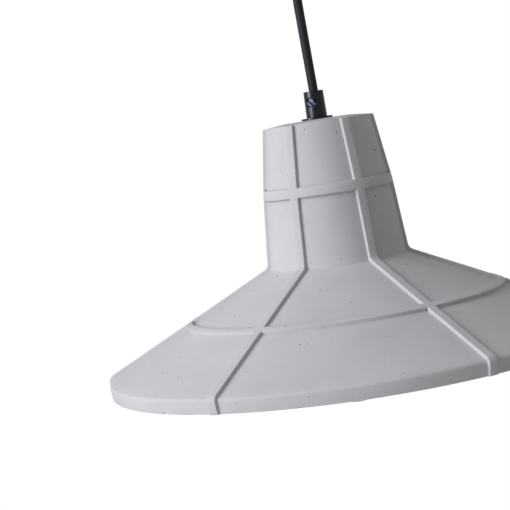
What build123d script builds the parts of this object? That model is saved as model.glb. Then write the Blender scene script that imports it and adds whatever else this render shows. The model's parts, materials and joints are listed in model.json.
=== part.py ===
from build123d import *
import math
import os

# Pendant ceiling light: cast concrete shade on a black cord, hung from a ceiling canopy.
# Millimetres. The origin is on the ceiling, on the lamp's axis, and +Z points up.

# Shade: one casting, 362 across its ribs. Drops are below the flat top of its neck.
NECK_TOP_R = 37.9
NECK_RING_R, NECK_RING_DROP = 44.8, 49.3
NECK_FOOT_R, NECK_FOOT_DROP = 49.6, 103.3
CONE_RING_R, CONE_RING_DROP = 113.7, 134.8
BRIM_R, BRIM_DROP = 178.3, 166.4
LIP_R, LIP_DROP = 177.2, 176.2
SHADE_WALL = 8.0
NECK_SLAB = 12.0
# The neck's flat top ends at TOP_FLAT_R, and a shallow slope runs from there to its edge.
TOP_FLAT_R, TOP_SLOPE = 24.0, 0.11
TOP_HOLE_R = 5.25

# Raised grid on the shade: meridian ribs and two rings, with sloping flanks.
RIB_COUNT = 6
RIB_RELIEF = 2.3
RIB_FACE = 6.0
RIB_FOOT = 7.1
NECK_RING_FACE = 6.9
CONE_RING_FACE = 4.9
RIB_ROOT = 1.5

# Cord and the two grips that clamp it. Each grip's screw is cut with a slot.
CORD_D = 6.5
CORD_SHOWN = 92.0
CORD_IN_GRIP = 12.0
GRIP_TOP_R, GRIP_FOOT_R = 7.15, 7.5
LAMP_GRIP_H = 19.0
CANOPY_GRIP_H = 18.0
GRIP_SCREW_R = 2.9
GRIP_SCREW_DROP = 8.0
CANOPY_SCREW_DROP = 7.0
GRIP_SCREW_ANGLE = -114.0
SLOT_ANGLE = 50.0
RUNNING = 0.08

# M10 thread that holds the lamp together.
TUBE_R, TUBE_BORE_R = 5.0, 3.9
THREAD_GAP = 0.05
FLANGE_R, FLANGE_T = 11.3, 1.5

# Ceiling set.
CANOPY_R, CANOPY_H, CANOPY_WALL = 48.0, 26.0, 1.2
CANOPY_CORNER = 4.0
BRACKET_W, BRACKET_T = 20.0, 1.5
BRACKET_REACH = 45.6
LUG_DROP = 15.0
SLOT_SPACING, SLOT_LENGTH, SLOT_W = 64.0, 10.0, 4.5
SIDE_SCREW_DROP, SIDE_SCREW_R = 9.5, 2.0
BLOCK_X, BLOCK_Y, BLOCK_Z = 34.0, 15.0, 11.0
POLE_SPACING = 11.0
POLE_HEIGHT = 4.5
POLE_R, POLE_BORE_R = 2.3, 1.5
POLE_SCREW_Y = 3.6
CORE_R = 0.9
TAIL_TOP = 9.5

# Ball-shaped bush in the canopy grip, in which the cord swings.
BUSH_R, BUSH_HALF_H = 5.6, 1.6
BUSH_GAP = 0.1
PIVOT_ABOVE_MOUTH = 2.2

# Screw-in lampholder and bulb. Drops are below the neck's flat top.
HOLDER_TOP_DROP = 70.5
HOLDER_R = 20.5
CAP_DROP = 92.5
INSERT_T = 8.0
SKIRT_FOOT_DROP = 126.5
BULB_FOOT_DROP = 208.1
BULB_LENGTH = 106.4
BULB_R = 30.0
BULB_CAP_R = 13.1
GLASS_T = 0.7
# Lampholder's contacts, and the earth tag under its collar.
CONTACT_T = 0.7
CONTACT_X = 10.5
HOLDER_COLLAR = 9.0
WASHER_T = 1.5
EARTH_TAG_T = 0.7

MOUTH_Z = -CANOPY_H - CANOPY_GRIP_H
PIVOT_Z = MOUTH_Z + PIVOT_ABOVE_MOUTH
GRIP_TOP_Z = MOUTH_Z - CORD_SHOWN
FLANGE_TOP_Z = GRIP_TOP_Z - LAMP_GRIP_H
NECK_Z = FLANGE_TOP_Z - FLANGE_T
CORD_R = CORD_D / 2
CORD_END_Z = GRIP_TOP_Z - CORD_IN_GRIP
HOLDER_Z = NECK_Z - HOLDER_TOP_DROP
CAP_Z = NECK_Z - CAP_DROP
INSERT_FOOT_Z = CAP_Z - INSERT_T
SKIRT_FOOT_Z = NECK_Z - SKIRT_FOOT_DROP
BULB_FOOT_Z = NECK_Z - BULB_FOOT_DROP
BULB_TIP_Z = BULB_FOOT_Z + BULB_LENGTH
TUBE_FOOT_Z = HOLDER_Z - 13.0
TUBE_TOP_Z = FLANGE_TOP_Z + 8.0


def turned(points):
    """Solid of revolution about Z from a closed outline of (radius, height) points."""
    outline = Polyline(*[(r, 0, z) for r, z in points], close=True)
    return revolve(make_face(outline), Axis.Z)


def tube(outer_r, inner_r, low, high):
    """Hollow cylinder about Z."""
    return turned([(inner_r, low), (outer_r, low), (outer_r, high), (inner_r, high)])


def rod(radius, low, high, x=0.0, y=0.0):
    """Solid cylinder along Z."""
    return Pos(x, y, (low + high) / 2) * Cylinder(radius, high - low)


def hex_nut(across_flats, bore_r, low, high):
    """Hexagon nut about Z."""
    corner_r = across_flats / math.sqrt(3)
    body = extrude(Pos(0, 0, low) * RegularPolygon(corner_r, 6), high - low)
    return body - rod(bore_r, low, high)


def corner_radii(points):
    """Largest round that each corner's two runs leave room for."""
    radii = []
    for before, corner, after in zip(points, points[1:], points[2:]):
        back = Vector(*corner) - Vector(*before)
        on = Vector(*after) - Vector(*corner)
        half_turn = math.radians(back.get_angle(on)) / 2
        radii.append(0.45 * min(back.length, on.length) / math.tan(half_turn))
    return radii


def wire(points, diameter):
    """Round wire along straight runs joined by tangent arcs."""
    path = FilletPolyline(*points, radius=corner_radii(points))
    section = Plane(origin=path @ 0, z_dir=path % 0) * Circle(diameter / 2)
    return sweep(section, path)


def save(name, shape):
    export_step(shape, f"parts/{name}.step")


# --- ceiling set ---

def ceiling_bracket():
    strap = Pos(0, 0, -BRACKET_T / 2) * Box(2 * BRACKET_REACH, BRACKET_W, BRACKET_T)
    lug_x = BRACKET_REACH - BRACKET_T / 2
    for side in (-1, 1):
        strap += Pos(side * lug_x, 0, -LUG_DROP / 2) * Box(BRACKET_T, BRACKET_W, LUG_DROP)
        slot = SlotOverall(SLOT_LENGTH, SLOT_W)
        strap -= Pos(side * SLOT_SPACING / 2, 0, -BRACKET_T) * extrude(slot, BRACKET_T)
        hole = Cylinder(SIDE_SCREW_R + THREAD_GAP, 3 * BRACKET_T, rotation=(0, 90, 0))
        strap -= Pos(side * lug_x, 0, -SIDE_SCREW_DROP) * hole
    return strap - rod(1.3, -BRACKET_T, 0)


def canopy_cup():
    cup = rod(CANOPY_R, -CANOPY_H, 0)
    cup = fillet(cup.edges().group_by(Axis.Z)[0], CANOPY_CORNER)
    hollow = rod(CANOPY_R - CANOPY_WALL, -CANOPY_H + CANOPY_WALL, 0)
    hollow = fillet(hollow.edges().group_by(Axis.Z)[0], CANOPY_CORNER - CANOPY_WALL)
    cup -= hollow
    cup -= rod(TUBE_R + 0.2, -CANOPY_H, 0)
    for side in (-1, 1):
        hole = Cylinder(SIDE_SCREW_R + 0.2, 4 * CANOPY_WALL, rotation=(0, 90, 0))
        cup -= Pos(side * CANOPY_R, 0, -SIDE_SCREW_DROP) * hole
    return cup


def canopy_side_screw(side):
    head_x = CANOPY_R + 0.05
    shank = Cylinder(SIDE_SCREW_R, 8.0, rotation=(0, 90, 0))
    head = Cylinder(3.8, 1.6, rotation=(0, 90, 0))
    screw = Pos(head_x - 4.0, 0, 0) * shank + Pos(head_x + 0.8, 0, 0) * head
    screw = chamfer(screw.edges().group_by(Axis.X)[-1], 0.7)
    screw -= Pos(head_x + 1.6, 0, 0) * Box(1.6, 9.0, 0.9)
    screw = Pos(0, 0, -SIDE_SCREW_DROP) * screw
    return screw if side > 0 else Rot(0, 0, 180) * screw


def screw_hole(surface_r, height):
    """Threaded cross hole for a grip screw, with a shallow round recess."""
    bore = Cylinder(GRIP_SCREW_R + THREAD_GAP, surface_r, rotation=(0, 90, 0))
    recess = Cylinder(GRIP_SCREW_R + 0.8, 2.0, rotation=(0, 90, 0))
    hole = Pos(surface_r / 2, 0, height) * bore + Pos(surface_r + 0.3, 0, height) * recess
    return Rot(0, 0, GRIP_SCREW_ANGLE) * hole


def grip_screw(surface_r, height):
    tip = CORD_R + RUNNING + 0.3
    end = surface_r + 0.1
    screw = Pos((tip + end) / 2, 0, 0) * Cylinder(GRIP_SCREW_R, end - tip, rotation=(0, 90, 0))
    screw = chamfer(screw.edges().group_by(Axis.X)[-1], 0.25)
    slot = Pos(end, 0, 0) * Box(1.8, 2 * GRIP_SCREW_R + 1, 0.9)
    screw -= Rot(-SLOT_ANGLE, 0, 0) * slot
    return Rot(0, 0, GRIP_SCREW_ANGLE) * Pos(0, 0, height) * screw


def canopy_cord_grip():
    top = -CANOPY_H
    spigot_top = top + 8.0
    bore_r = CORD_R + RUNNING
    ball_r = BUSH_R + BUSH_GAP
    body = turned([
        (bore_r, MOUTH_Z), (GRIP_FOOT_R - 0.5, MOUTH_Z), (GRIP_FOOT_R, MOUTH_Z + 0.5),
        (GRIP_FOOT_R, top), (TUBE_R, top), (TUBE_R, spigot_top), (bore_r, spigot_top),
    ])
    body -= Pos(0, 0, PIVOT_Z) * Sphere(ball_r)
    return body - screw_hole(GRIP_FOOT_R, top - CANOPY_SCREW_DROP)


def canopy_cord_bush():
    waist = CORD_R + 0.42
    flare = waist + 0.75
    ring = turned([
        (waist, PIVOT_Z), (flare, PIVOT_Z - BUSH_HALF_H), (BUSH_R, PIVOT_Z - BUSH_HALF_H),
        (BUSH_R, PIVOT_Z + BUSH_HALF_H), (flare, PIVOT_Z + BUSH_HALF_H),
    ])
    return ring & (Pos(0, 0, PIVOT_Z) * Sphere(BUSH_R))


def terminal_block():
    low = -BRACKET_T - BLOCK_Z
    block = Pos(0, 0, low + BLOCK_Z / 2) * Box(BLOCK_X, BLOCK_Y, BLOCK_Z)
    block = fillet(block.edges().filter_by(Axis.Z), 1.0)
    block -= rod(1.6, low, -BRACKET_T, y=0, x=POLE_SPACING / 2)
    for x in pole_places():
        block -= Pos(x, 0, low + POLE_HEIGHT) * Cylinder(POLE_R + THREAD_GAP, BLOCK_Y, rotation=(90, 0, 0))
        for y in (-POLE_SCREW_Y, POLE_SCREW_Y):
            block -= rod(1.9, low, low + POLE_HEIGHT, x, y)
    return block


def pole_places():
    return [(i - 1) * POLE_SPACING for i in range(3)]


def terminal_tube(x):
    low = -BRACKET_T - BLOCK_Z
    centre = Pos(x, 0, low + POLE_HEIGHT)
    body = centre * Cylinder(POLE_R, BLOCK_Y - 2, rotation=(90, 0, 0))
    body -= centre * Cylinder(POLE_BORE_R, BLOCK_Y, rotation=(90, 0, 0))
    for y in (-POLE_SCREW_Y, POLE_SCREW_Y):
        body -= rod(1.35, low, low + POLE_HEIGHT, x, y)
    return body


def terminal_screw(x, y):
    low = -BRACKET_T - BLOCK_Z
    screw = rod(1.3, low + 0.4, low + 3.2, x, y)
    return screw - Pos(x, y, low + 0.4) * Box(4, 0.5, 1.0)


def terminal_block_screw():
    """Short screw through the block into the bracket."""
    x = POLE_SPACING / 2
    low = -BRACKET_T - BLOCK_Z
    return rod(1.2, low + 1.0, -BRACKET_T, x) + rod(1.5, low + 0.5, low + 2.0, x)


def cord_tail():
    return rod(CORD_R, PIVOT_Z + CORD_R + 0.25, -CANOPY_H + TAIL_TOP)


def ceiling_core(i):
    """Insulated core from the cord's cut end round into its terminal."""
    start = Vector(1.9 * (i - 1), 0.7 if i == 1 else -1.1, -CANOPY_H + TAIL_TOP)
    x = pole_places()[i]
    block_foot = -BRACKET_T - BLOCK_Z
    pole_z = block_foot + POLE_HEIGHT
    back = -BLOCK_Y / 2 - 3.1
    bend_z = block_foot - 1.8
    clear = start + Vector(0, 0, 1.6)
    points = [tuple(start), tuple(clear), (x, back, bend_z), (x, back, pole_z), (x, -5.6, pole_z)]
    return wire(points, CORE_R * 2)


# --- cord ---

def cord():
    shaft = rod(CORD_R, CORD_END_Z, PIVOT_Z)
    return shaft + Pos(0, 0, PIVOT_Z) * Sphere(CORD_R)


# --- lamp ---

def lamp_cord_grip():
    bore_r = CORD_R + RUNNING
    socket_top = FLANGE_TOP_Z + 8.2
    body = turned([
        (TUBE_R + THREAD_GAP, FLANGE_TOP_Z), (GRIP_FOOT_R, FLANGE_TOP_Z),
        (GRIP_TOP_R, GRIP_TOP_Z - 0.4), (GRIP_TOP_R - 0.4, GRIP_TOP_Z),
        (bore_r + 0.3, GRIP_TOP_Z), (bore_r, GRIP_TOP_Z - 0.4),
        (bore_r, socket_top), (TUBE_R + THREAD_GAP, socket_top),
    ])
    return body - screw_hole(GRIP_TOP_R, GRIP_TOP_Z - GRIP_SCREW_DROP)


def neck_flange():
    plate = tube(FLANGE_R, TUBE_R + 0.1, NECK_Z, FLANGE_TOP_Z)
    return chamfer(plate.edges().group_by(Axis.Z)[-1].sort_by(SortBy.LENGTH)[-1], 0.5)


def shade_panel_points():
    """Outer outline between the ribs, from the neck's top to the lip's foot."""
    return [
        (NECK_TOP_R, NECK_Z), (NECK_RING_R, NECK_Z - NECK_RING_DROP),
        (NECK_FOOT_R, NECK_Z - NECK_FOOT_DROP), (CONE_RING_R, NECK_Z - CONE_RING_DROP),
        (BRIM_R, NECK_Z - BRIM_DROP), (LIP_R, NECK_Z - LIP_DROP),
    ]


def slope(a, b):
    """Unit vector from a to b, and the outward unit normal, as (radius, height) pairs."""
    length = math.hypot(b[0] - a[0], b[1] - a[1])
    along = ((b[0] - a[0]) / length, (b[1] - a[1]) / length)
    return along, (-along[1], along[0])


def offset_point(points, i, distance):
    """Outline point i moved inwards so that both walls beside it keep the same thickness."""
    _, n0 = slope(points[i - 1], points[i])
    _, n1 = slope(points[i], points[i + 1])
    scale = distance / (1 + n0[0] * n1[0] + n0[1] * n1[1])
    return (points[i][0] - scale * (n0[0] + n1[0]), points[i][1] - scale * (n0[1] + n1[1]))


def shade_body():
    outside = shade_panel_points()
    neck_foot = offset_point(outside, 2, SHADE_WALL)
    brim = offset_point(outside, 4, SHADE_WALL)
    ceiling_z = NECK_Z - NECK_SLAB
    taper = (NECK_RING_R - NECK_TOP_R) / NECK_RING_DROP
    neck_top_r = NECK_TOP_R + taper * NECK_SLAB - SHADE_WALL
    lip = (LIP_R - SHADE_WALL - 1.0, outside[-1][1])
    inside = [(TOP_HOLE_R, NECK_Z), (TOP_HOLE_R, ceiling_z), (neck_top_r, ceiling_z)]
    return turned(outside + [lip, brim, neck_foot] + inside[::-1])


def ring_on(points, i, face):
    """Raised ring centred on outline point i."""
    along, n = slope(points[i - 1], points[i + 1])
    flank = (RIB_FOOT - RIB_FACE) / 2
    root = flank * RIB_ROOT / RIB_RELIEF
    corners = [(-face / 2 - flank - root, -RIB_ROOT), (face / 2 + flank + root, -RIB_ROOT),
               (face / 2, RIB_RELIEF), (-face / 2, RIB_RELIEF)]
    r, z = points[i]
    return turned([(r + a * along[0] + h * n[0], z + a * along[1] + h * n[1]) for a, h in corners])


def rib():
    """One raised meridian rib, swept down the outline in the XZ plane."""
    path = Polyline(*[(r, 0, z) for r, z in shade_panel_points()])
    flank = (RIB_FOOT - RIB_FACE) / 2
    root = flank * RIB_ROOT / RIB_RELIEF
    half_foot = RIB_FOOT / 2 + root
    section = Polyline((-half_foot, -RIB_ROOT), (half_foot, -RIB_ROOT), (RIB_FACE / 2, RIB_RELIEF),
                       (-RIB_FACE / 2, RIB_RELIEF), close=True)
    start = Plane(origin=path @ 0, x_dir=(0, 1, 0), z_dir=path % 0)
    return sweep(start * make_face(section), path, transition=Transition.RIGHT)


def concrete_shade():
    points = shade_panel_points()
    shade = shade_body()
    shade += ring_on(points, 1, NECK_RING_FACE)
    shade += ring_on(points, 3, CONE_RING_FACE)
    one = rib()
    for i in range(RIB_COUNT):
        shade += Rot(0, 0, i * 360 / RIB_COUNT) * one
    reach = 10
    far = NECK_TOP_R + reach
    shade -= turned([(TOP_FLAT_R, NECK_Z), (far, NECK_Z - TOP_SLOPE * (far - TOP_FLAT_R)),
                     (far, NECK_Z + reach), (TOP_FLAT_R, NECK_Z + reach)])
    return shade - tube(LIP_R + reach, LIP_R - 2 * reach, NECK_Z - LIP_DROP - reach, NECK_Z - LIP_DROP)


def threaded_tube():
    return tube(TUBE_R, TUBE_BORE_R, TUBE_FOOT_Z, TUBE_TOP_Z)


def inner_washer():
    top = NECK_Z - NECK_SLAB
    return tube(13.0, TUBE_R + 0.2, top - WASHER_T, top)


def clamp_nut():
    top = NECK_Z - NECK_SLAB - WASHER_T
    return hex_nut(14.0, TUBE_R + THREAD_GAP, top - 4.0, top)


def lampholder_cap():
    wall = 1.8
    collar_r = 8.5
    collar_foot = HOLDER_Z - HOLDER_COLLAR
    outside = [(collar_r, HOLDER_Z), (collar_r + 3.5, HOLDER_Z - 2.0), (HOLDER_R - 2.5, HOLDER_Z - 9.0),
               (HOLDER_R, HOLDER_Z - 14.0), (HOLDER_R, CAP_Z)]
    inside = [(HOLDER_R - wall, CAP_Z), (HOLDER_R - wall, HOLDER_Z - 14.6),
              (HOLDER_R - 4.2, HOLDER_Z - 10.4), (collar_r + 1.2, collar_foot + 5.0),
              (collar_r + 0.2, collar_foot), (TUBE_R + THREAD_GAP, collar_foot),
              (TUBE_R + THREAD_GAP, HOLDER_Z)]
    return turned(outside + inside)


def lampholder_insert():
    disc = rod(HOLDER_R - 2.2, INSERT_FOOT_Z, CAP_Z)
    for x in (-CONTACT_X, CONTACT_X):
        disc -= rod(1.6, INSERT_FOOT_Z, CAP_Z, x)
    return disc


def lampholder_shell():
    return tube(BULB_CAP_R + 0.7, BULB_CAP_R + 0.3, INSERT_FOOT_Z - 22.0, INSERT_FOOT_Z)


def lampholder_skirt():
    inner_r = BULB_CAP_R + 1.0
    shoulder = SKIRT_FOOT_Z + 4.0
    return turned([
        (HOLDER_R, CAP_Z), (HOLDER_R, SKIRT_FOOT_Z + 26.0), (HOLDER_R - 1.2, SKIRT_FOOT_Z + 24.0),
        (HOLDER_R - 2.2, SKIRT_FOOT_Z + 1.0), (HOLDER_R - 3.2, SKIRT_FOOT_Z), (inner_r, SKIRT_FOOT_Z),
        (inner_r, INSERT_FOOT_Z - 0.3), (HOLDER_R - 2.0, INSERT_FOOT_Z - 0.3), (HOLDER_R - 2.0, CAP_Z),
    ])


def centre_contact():
    return Pos(-5.5, 0, INSERT_FOOT_Z - CONTACT_T / 2) * Box(15.0, 5.0, CONTACT_T)


def side_contact():
    return Pos(CONTACT_X, 0, INSERT_FOOT_Z - CONTACT_T / 2) * Box(4.0, 5.0, CONTACT_T)


def contact_screw(x):
    return rod(1.5, INSERT_FOOT_Z, CAP_Z, x) + rod(2.6, CAP_Z, CAP_Z + 1.8, x)


def lamp_core(side):
    x = side * 1.5
    screw_x = side * CONTACT_X
    low = CAP_Z + CORE_R + 0.05
    points = [(x, 0, CORD_END_Z), (x, 0, TUBE_FOOT_Z - 1.5), (screw_x * 0.55, 2.0, low + 1.2),
              (screw_x - side * 3.4, 0.5, low + 0.3)]
    return wire(points, CORE_R * 2)


def lamp_earth_core():
    low = TUBE_FOOT_Z - 1.8
    points = [(0, -2.0, CORD_END_Z), (0, -2.0, low), (0, -9.5, low), (0, -9.5, HOLDER_Z - 10.1)]
    return wire(points, CORE_R * 2)


def earth_tag():
    top = HOLDER_Z - HOLDER_COLLAR
    tongue = Pos(0, -8.8, top - EARTH_TAG_T / 2) * Box(4.0, 4.0, EARTH_TAG_T)
    return tube(7.5, TUBE_R + 0.15, top - EARTH_TAG_T, top) + tongue


def earth_nut():
    top = HOLDER_Z - HOLDER_COLLAR - EARTH_TAG_T
    return hex_nut(12.0, TUBE_R + THREAD_GAP, top - 2.4, top)


# --- bulb ---

def bulb_contact():
    return rod(4.6, BULB_TIP_Z - 1.6, BULB_TIP_Z)


def bulb_insulator():
    top = BULB_TIP_Z - 1.6
    return turned([(0, top), (6.5, top), (11.0, top - 3.0), (11.0, top - 4.0), (0, top - 4.0)])


def bulb_cap():
    top = BULB_TIP_Z - 2.6
    foot = BULB_TIP_Z - 27.0
    return turned([
        (11.05, top - 3.0), (11.05, top - 1.2), (BULB_CAP_R, top - 2.6), (BULB_CAP_R, foot),
        (BULB_CAP_R - 0.35, foot), (BULB_CAP_R - 0.35, top - 3.0),
    ])


def glass_outline(inset):
    """Half outline of the bulb's glass from its foot to its neck, as a wire of arcs."""
    radius = BULB_R - inset
    centre_z = BULB_FOOT_Z + BULB_R
    lift = math.radians(38)
    join = (radius * math.cos(lift), 0, centre_z + radius * math.sin(lift))
    foot = (0, 0, centre_z - radius)
    neck = (12.4 - inset, 0, BULB_TIP_Z - 25.0)
    start = (12.4 - inset, 0, neck[2] - 2.0)
    ball = ThreePointArc(foot, (radius, 0, centre_z), join)
    shoulder = Spline([join, start], tangents=[(-math.sin(lift), 0, math.cos(lift)), (0, 0, 1)])
    return ball + shoulder + Line(start, neck)


def bulb_glass():
    outer = glass_outline(0)
    inner = glass_outline(GLASS_T)
    top = Line(outer @ 1, inner @ 1)
    foot = Line(outer @ 0, inner @ 0)
    return revolve(make_face(outer.edges() + inner.edges() + [top.edge(), foot.edge()]), Axis.Z)


def bulb_stem():
    neck_z = BULB_TIP_Z - 25.5
    return turned([
        (0, neck_z), (11.4, neck_z), (11.4, neck_z - 0.9), (4.5, neck_z - 5.0), (2.4, neck_z - 26.0),
        (1.6, neck_z - 42.0), (0, neck_z - 42.8),
    ])


def filament_points():
    """Zigzag line of the filament round the stem's foot."""
    neck_z = BULB_TIP_Z - 25.5
    count = 9
    points = []
    for i in range(count):
        angle = math.radians(-140 + 280 * i / (count - 1))
        z = neck_z - (37.0 if i % 2 else 45.0)
        points.append((9.5 * math.cos(angle), 9.5 * math.sin(angle), z))
    return points


def straight_wire(a, b, diameter):
    line = Line(a, b)
    return sweep(Plane(origin=line @ 0, z_dir=line % 0) * Circle(diameter / 2), line)


def bulb_filament():
    points = filament_points()
    wires = [straight_wire(a, b, 0.35) for a, b in zip(points, points[1:])]
    joints = [Pos(*p) * Sphere(0.175) for p in points]
    body = wires[0]
    for piece in wires[1:] + joints:
        body += piece
    return body


def bulb_leads():
    neck_z = BULB_TIP_Z - 25.5
    points = filament_points()
    leads = []
    for end, side in ((points[0], -1), (points[-1], 1)):
        start = (-3.3, side * 2.2, neck_z - 14.0)
        stop = Vector(*end) + Vector(0, 0, 0.5)
        leads.append(straight_wire(start, stop, 0.6))
    return leads


def build_all():
    os.makedirs("parts", exist_ok=True)
    save("ceiling_bracket", ceiling_bracket())
    save("canopy_cup", canopy_cup())
    save("canopy_side_screws", Compound([canopy_side_screw(side) for side in (-1, 1)]))
    save("canopy_cord_grip", canopy_cord_grip())
    save("canopy_grip_screw", grip_screw(GRIP_FOOT_R, -CANOPY_H - CANOPY_SCREW_DROP))
    nut_foot = -CANOPY_H + CANOPY_WALL
    save("canopy_grip_nut", hex_nut(14.0, TUBE_R + THREAD_GAP, nut_foot, nut_foot + 3.0))
    save("terminal_block", terminal_block())
    save("terminal_tubes", Compound([terminal_tube(x) for x in pole_places()]))
    screws = [terminal_screw(x, y) for x in pole_places() for y in (-POLE_SCREW_Y, POLE_SCREW_Y)]
    save("terminal_screws", Compound(screws))
    save("terminal_block_screw", terminal_block_screw())
    save("cord_tail", cord_tail())
    for i, name in enumerate(("live", "earth", "neutral")):
        save(f"ceiling_{name}_core", ceiling_core(i))
    save("canopy_cord_bush", canopy_cord_bush())
    save("cord", cord())
    save("lamp_cord_grip", lamp_cord_grip())
    save("lamp_grip_screw", grip_screw(GRIP_TOP_R, GRIP_TOP_Z - GRIP_SCREW_DROP))
    save("neck_flange", neck_flange())
    save("concrete_shade", concrete_shade())
    save("threaded_tube", threaded_tube())
    save("inner_washer", inner_washer())
    save("clamp_nut", clamp_nut())
    save("lampholder_cap", lampholder_cap())
    save("lampholder_insert", lampholder_insert())
    save("lampholder_shell", lampholder_shell())
    save("lampholder_skirt", lampholder_skirt())
    save("centre_contact", centre_contact())
    save("side_contact", side_contact())
    save("contact_screws", Compound([contact_screw(x) for x in (-CONTACT_X, CONTACT_X)]))
    save("lamp_live_core", lamp_core(-1))
    save("lamp_neutral_core", lamp_core(1))
    save("lamp_earth_core", lamp_earth_core())
    save("earth_tag", earth_tag())
    save("earth_nut", earth_nut())
    save("bulb_contact", bulb_contact())
    save("bulb_insulator", bulb_insulator())
    save("bulb_cap", bulb_cap())
    save("bulb_glass", bulb_glass())
    save("bulb_stem", bulb_stem())
    save("bulb_leads", Compound(bulb_leads()))
    save("bulb_filament", bulb_filament())


build_all()
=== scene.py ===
import json
import math
import random

import bmesh
import bpy
from bpy.props import FloatProperty, FloatVectorProperty, IntProperty, PointerProperty
from mathutils import Matrix, Vector, noise
from mathutils.geometry import interpolate_bezier

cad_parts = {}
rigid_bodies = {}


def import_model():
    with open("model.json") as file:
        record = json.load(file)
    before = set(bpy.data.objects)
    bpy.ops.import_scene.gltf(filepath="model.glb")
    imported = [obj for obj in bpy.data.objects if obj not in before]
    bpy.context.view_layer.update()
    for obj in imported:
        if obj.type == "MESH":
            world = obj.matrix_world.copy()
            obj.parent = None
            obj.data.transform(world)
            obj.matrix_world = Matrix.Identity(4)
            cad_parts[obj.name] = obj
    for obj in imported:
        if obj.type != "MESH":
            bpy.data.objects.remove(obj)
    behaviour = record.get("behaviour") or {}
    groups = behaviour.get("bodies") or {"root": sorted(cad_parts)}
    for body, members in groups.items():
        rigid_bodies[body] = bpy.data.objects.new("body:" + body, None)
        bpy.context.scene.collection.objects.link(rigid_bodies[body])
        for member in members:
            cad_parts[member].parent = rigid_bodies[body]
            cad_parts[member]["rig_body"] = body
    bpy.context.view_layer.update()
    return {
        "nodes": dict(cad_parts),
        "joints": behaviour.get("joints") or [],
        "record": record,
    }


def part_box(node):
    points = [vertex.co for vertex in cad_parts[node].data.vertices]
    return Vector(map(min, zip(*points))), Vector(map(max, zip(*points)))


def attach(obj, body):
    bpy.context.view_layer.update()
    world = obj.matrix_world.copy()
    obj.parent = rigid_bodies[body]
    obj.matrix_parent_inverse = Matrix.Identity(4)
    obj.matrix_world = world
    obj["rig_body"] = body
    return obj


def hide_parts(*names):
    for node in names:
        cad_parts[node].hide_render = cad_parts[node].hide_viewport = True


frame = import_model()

bl_info = {
    "name": "Concrete Pendant Light",
    "version": (1, 0, 0),
    "blender": (4, 5, 0),
    "location": "3D View > Sidebar > Pendant",
    "description": "Builds the visible pieces of a cast concrete pendant light on its CAD frame",
    "category": "Object",
}

MM = 0.001
SLOT_OF = {part["node"]: part["material_slot"] for part in frame["record"]["subparts"]}
finishes = {}


# --- properties ---

def length(name, default, description):
    """A size in metres that the user can change."""
    return FloatProperty(name=name, description=description, default=default, unit="LENGTH", precision=5)


def number(name, default, description, **more):
    """A plain number that the user can change."""
    return FloatProperty(name=name, description=description, default=default, **more)


def degrees(name, default, description):
    """An angle that the user can change, given in degrees."""
    return number(name, math.radians(default), description, subtype="ANGLE")


def whole(name, default, description, least=0):
    """A whole number that the user can change."""
    return IntProperty(name=name, description=description, default=default, min=least)


def colour(name, default, description):
    """A colour that the user can change, given as an sRGB hex value."""
    return FloatVectorProperty(name=name, description=description, default=linear(default)[:3],
                               subtype="COLOR", size=3, min=0, max=1)


def linear(hex_colour):
    """Linear RGBA of an sRGB hex colour such as "C8C7CC"."""
    channels = [int(hex_colour[i:i + 2], 16) / 255 for i in (0, 2, 4)]
    return [c / 12.92 if c <= 0.04045 else ((c + 0.055) / 1.055) ** 2.4 for c in channels] + [1.0]


class ShadeSettings(bpy.types.PropertyGroup):
    """Outline of the cast shade between its ribs. Drops are below the neck's flat top."""
    neck_top: length("Neck top radius", 37.9 * MM, "Radius between the ribs at the flat top")
    neck_ring: length("Neck ring radius", 44.8 * MM, "Radius at the middle of the neck's ring")
    neck_ring_drop: length("Neck ring drop", 49.3 * MM, "Height of the neck's ring below the top")
    neck_foot: length("Neck foot radius", 49.6 * MM, "Radius where the neck meets the cone")
    neck_foot_drop: length("Neck foot drop", 103.3 * MM, "Height of the cone's start below the top")
    cone_ring: length("Cone ring radius", 113.7 * MM, "Radius at the middle of the cone's ring")
    cone_ring_drop: length("Cone ring drop", 134.8 * MM, "Height of the cone's ring below the top")
    brim: length("Brim radius", 178.3 * MM, "Radius at the brim's edge")
    brim_drop: length("Brim drop", 166.4 * MM, "Height of the brim's edge below the top")
    lip: length("Lip radius", 177.2 * MM, "Radius at the lip's foot")
    top_flat: length("Flat top radius", 24.0 * MM, "Radius at which the neck's flat top ends")
    top_slope: number("Top slope", 0.11, "Fall of the slope round the flat top")
    wall: length("Wall", 8.0 * MM, "Thickness of the cast wall")
    slab: length("Neck slab", 12.0 * MM, "Thickness of the neck's closed top")
    relief: length("Rib relief", 2.3 * MM, "How far the ribs and rings stand out")
    lip_fade: number("Lip fade", 0.7, "Part of the relief left at the lip's foot")
    rib_face: length("Rib face", 6.0 * MM, "Width of a rib's flat face")
    rib_foot: length("Rib foot", 7.1 * MM, "Width of a rib at its foot")
    neck_ring_face: length("Neck ring face", 6.9 * MM, "Width of the neck ring's flat face")
    cone_ring_face: length("Cone ring face", 4.9 * MM, "Width of the cone ring's flat face")
    ribs: whole("Ribs", 6, "Number of ribs round the shade", 3)
    unevenness: length("Unevenness", 0.22 * MM, "How far the cast faces wander from true")
    air_holes: whole("Air holes", 190, "Open air holes in the outer face")
    chips: whole("Chips", 26, "Small chips along the lip and the top edge")
    seed: whole("Seed", 11, "Seed of the air holes and chips")


class CordSettings(bpy.types.PropertyGroup):
    """The braided cord between the two grips."""
    diameter: length("Diameter", 6.7 * MM, "Outer diameter of the braid")
    carriers: whole("Carriers", 12, "Braid strands in each direction", 4)
    lay: length("Lay", 21.0 * MM, "Height in which one strand goes round the cord")
    strand_relief: length("Strand relief", 0.13 * MM, "How far a strand stands out of the braid")


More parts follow.
